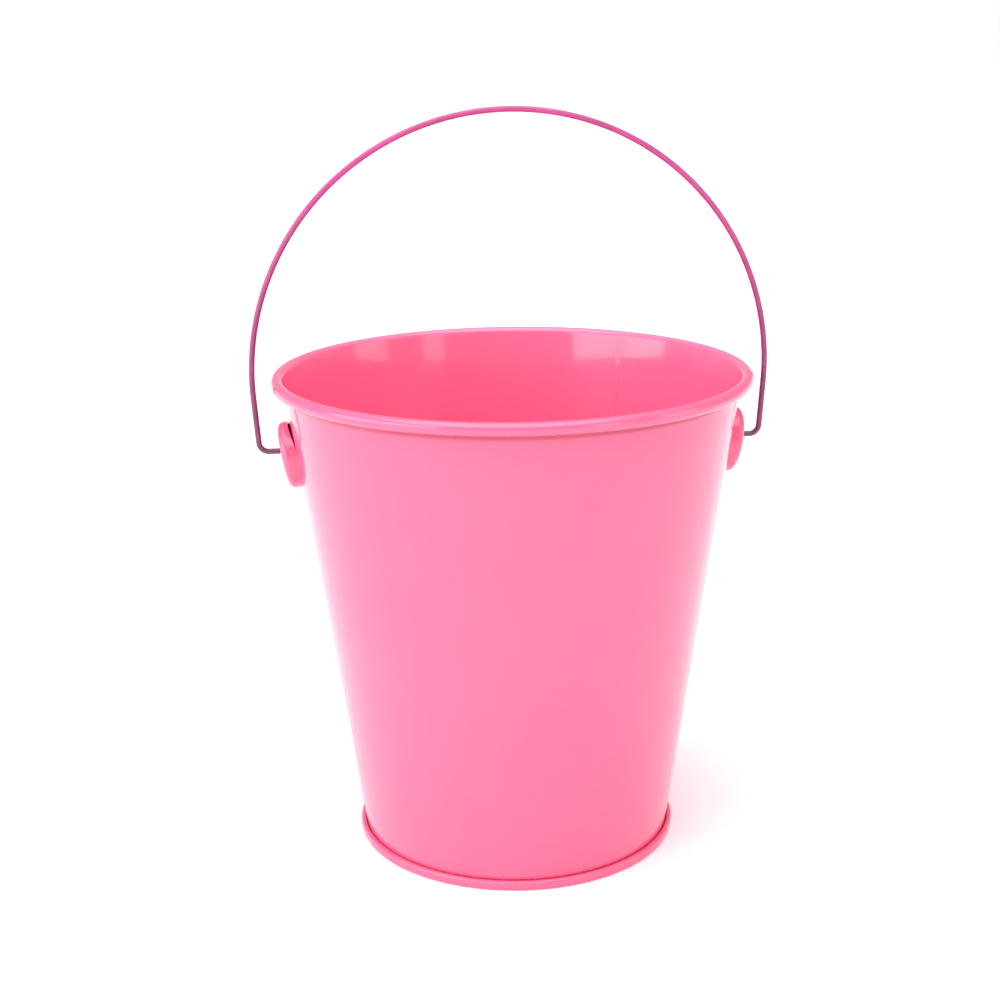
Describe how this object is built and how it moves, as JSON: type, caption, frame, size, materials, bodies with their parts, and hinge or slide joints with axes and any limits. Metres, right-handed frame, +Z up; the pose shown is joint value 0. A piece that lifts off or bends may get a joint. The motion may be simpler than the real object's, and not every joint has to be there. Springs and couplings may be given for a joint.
{
  "type": "metal pail",
  "caption": "Small painted steel pail with a tapered wall, rolled rim, double-seamed base and a wire bail that swings on two side ears.",
  "frame": {"origin": "on the ground at the pail's axis, in the plane of the bottom seam's foot", "axes": "+Z up along the pail's axis; X along the bail's hinge line through both ears; +Y to the back, across the hinge line"},
  "size_m": [0.1264, 0.1164, 0.1811],
  "materials": {
    "enamel": "glossy pink stoving enamel on tinplate",
    "wire_enamel": "thin mauve-pink enamel on steel wire, semi-gloss"
  },
  "bodies": {
    "pail": {"bucket_wall": "enamel", "base_pan": "enamel", "ear_left": "enamel", "ear_right": "enamel"},
    "bail": {"bail_wire": "wire_enamel"}
  },
  "joints": [
    {"name": "bail_swing", "type": "hinge", "parent": "pail", "child": "bail", "pos_m": [0, 0, 0.1005], "axis": [1, 0, 0], "range_deg": [-140, 140]}
  ]
}
